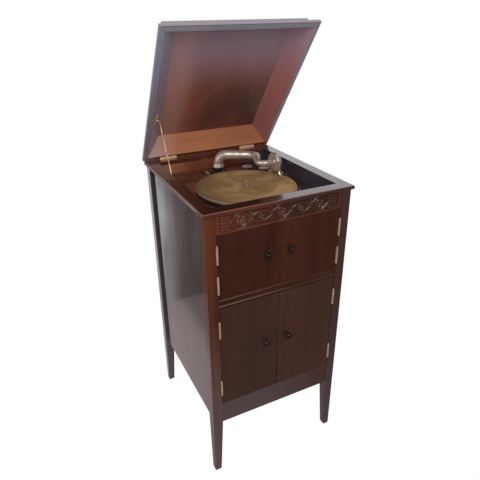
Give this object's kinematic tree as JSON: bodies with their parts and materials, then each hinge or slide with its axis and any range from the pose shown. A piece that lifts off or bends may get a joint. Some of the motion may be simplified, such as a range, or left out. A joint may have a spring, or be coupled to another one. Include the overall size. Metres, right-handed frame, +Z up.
{
  "type": "floor-standing gramophone",
  "caption": "Tall cabinet gramophone on tapered legs with a hinged coffered lid, a turntable, a tonearm with soundbox, a carved rail and two pairs of doors over a folded horn and record store.",
  "frame": {"origin": "on the floor under the middle of the cabinet's corner posts", "axes": "+Z up, the doors and the carved rail face -Y, the winding crank is on +X"},
  "size_m": [0.548, 0.5352, 1.3127],
  "materials": {
    "case_wood": "dark red-brown mahogany under aged gloss varnish",
    "inner_wood": "orange-brown mahogany under satin varnish",
    "brass": "pale lacquered brass",
    "nickel": "warm polished nickel plate, lightly worn",
    "black_enamel": "black enamel",
    "steel": "turned steel",
    "felt": "worn tan felt",
    "diaphragm": "thin pressed sheet",
    "ebonised_wood": "dark gloss"
  },
  "bodies": {
    "cabinet": {"front_posts": "case_wood", "rear_posts": "case_wood", "side_panel_left": "case_wood", "side_panel_right": "case_wood", "back_panel": "case_wood", "rim_moulding": "case_wood", "well_lining": "inner_wood", "frieze_rail": "case_wood", "mid_rail": "case_wood", "apron_rail": "case_wood", "bottom_board": "case_wood", "shelf_board": "case_wood", "record_dividers": "inner_wood", "motor_board": "inner_wood", "horn": "inner_wood", "horn_throat": "black_enamel", "cabinet_hinge_leaves": "brass", "lid_hinge_frame_leaves": "brass", "stay_track": "brass", "tonearm_base": "black_enamel", "needle_cups": "nickel", "board_screws": "nickel", "speed_dial": "black_enamel", "brake_bracket": "nickel", "motor_frame": "black_enamel", "crank_escutcheon": "brass"},
    "lid": {"lid_frame": "case_wood", "lid_panel": "inner_wood", "lid_hinge_lid_leaves": "brass", "stay_bracket": "brass"},
    "stay": {"lid_stay": "brass"},
    "upper_left_leaf": {"upper_left_door": "case_wood", "upper_left_knob": "ebonised_wood", "upper_left_hinges": "brass"},
    "upper_right_leaf": {"upper_right_door": "case_wood", "upper_right_knob": "ebonised_wood", "upper_right_hinges": "brass"},
    "lower_left_leaf": {"lower_left_door": "case_wood", "lower_left_knob": "ebonised_wood", "lower_left_hinges": "brass"},
    "lower_right_leaf": {"lower_right_door": "case_wood", "lower_right_knob": "ebonised_wood", "lower_right_hinges": "brass"},
    "turntable": {"platter": "nickel", "platter_felt": "felt", "spindle": "steel"},
    "tonearm": {"tonearm_tube": "nickel"},
    "reproducer": {"gooseneck": "nickel", "soundbox": "nickel", "soundbox_diaphragm": "diaphragm", "stylus_bar": "steel", "needle": "steel"},
    "crank_arm": {"crank": "nickel"},
    "crank_grip": {"crank_handle": "ebonised_wood"},
    "winding_arbor": {"winding_gear": "steel"},
    "mainspring_barrel": {"spring_barrel": "steel"},
    "governor_shaft": {"governor": "brass"},
    "speed_control": {"speed_lever": "nickel"},
    "brake": {"brake_lever": "nickel"}
  },
  "joints": [
    {"name": "lid_hinge", "type": "hinge", "parent": "cabinet", "child": "lid", "pos_m": [0, 0.2475, 0.90025], "axis": [-1, 0, 0], "range_deg": [-54.2, 0]},
    {"name": "stay_pivot", "type": "hinge", "parent": "lid", "child": "stay", "pos_m": [-0.1866, 0.16871, 1.0407], "axis": [1, 0, 0], "range_deg": [-103, 0]},
    {"name": "upper_left_door_hinge", "type": "hinge", "parent": "cabinet", "child": "upper_left_leaf", "pos_m": [-0.189, -0.2431, 0.735], "axis": [0, 0, -1], "range_deg": [0, 110]},
    {"name": "upper_right_door_hinge", "type": "hinge", "parent": "cabinet", "child": "upper_right_leaf", "pos_m": [0.189, -0.2431, 0.735], "axis": [0, 0, 1], "range_deg": [0, 110]},
    {"name": "lower_left_door_hinge", "type": "hinge", "parent": "cabinet", "child": "lower_left_leaf", "pos_m": [-0.189, -0.2431, 0.445], "axis": [0, 0, -1], "range_deg": [0, 110]},
    {"name": "lower_right_door_hinge", "type": "hinge", "parent": "cabinet", "child": "lower_right_leaf", "pos_m": [0.189, -0.2431, 0.445], "axis": [0, 0, 1], "range_deg": [0, 110]},
    {"name": "turntable_spin", "type": "hinge", "parent": "cabinet", "child": "turntable", "pos_m": [0, -0.034, 0.86], "axis": [0, 0, 1], "continuous": true},
    {"name": "tonearm_swing", "type": "hinge", "parent": "cabinet", "child": "tonearm", "pos_m": [0, 0.168, 0.87], "axis": [0, 0, 1], "range_deg": [-21.5, 12]},
    {"name": "reproducer_lift", "type": "hinge", "parent": "tonearm", "child": "reproducer", "pos_m": [0.09745, 0.08722, 0.91239], "axis": [-0.4223, -0.9058, 0.0349], "range_deg": [0, 150]},
    {"name": "crank_turn", "type": "hinge", "parent": "cabinet", "child": "crank_arm", "pos_m": [0.2, -0.0015, 0.762], "axis": [1, 0, 0], "continuous": true},
    {"name": "crank_grip_spin", "type": "hinge", "parent": "crank_arm", "child": "crank_grip", "pos_m": [0.28, -0.0015, 0.644], "axis": [1, 0, 0], "continuous": true},
    {"name": "winding_arbor_spin", "type": "hinge", "parent": "cabinet", "child": "winding_arbor", "pos_m": [-0.0325, -0.0015, 0.79], "axis": [0, 0, 1], "continuous": true},
    {"name": "barrel_spin", "type": "hinge", "parent": "cabinet", "child": "mainspring_barrel", "pos_m": [-0.0325, -0.0015, 0.79], "axis": [0, 0, 1], "continuous": true},
    {"name": "governor_spin", "type": "hinge", "parent": "cabinet", "child": "governor_shaft", "pos_m": [0.02494, -0.0484, 0.79], "axis": [0, 0, 1], "continuous": true},
    {"name": "speed_lever_turn", "type": "hinge", "parent": "cabinet", "child": "speed_control", "pos_m": [-0.046, 0.16, 0.862], "axis": [0, 0, 1], "range_deg": [-25, 25]},
    {"name": "brake_lever_turn", "type": "hinge", "parent": "cabinet", "child": "brake", "pos_m": [0.143, 0.075, 0.864], "axis": [0, 0, 1], "range_deg": [-6.5, 20]}
  ],
  "couplings": [
    {"joint": "stay_pivot", "follows": "lid_hinge", "ratio": 1.9},
    {"joint": "barrel_spin", "follows": "turntable_spin", "ratio": -0.15},
    {"joint": "governor_spin", "follows": "turntable_spin", "ratio": -5},
    {"joint": "winding_arbor_spin", "follows": "crank_turn", "ratio": 0.33333}
  ]
}
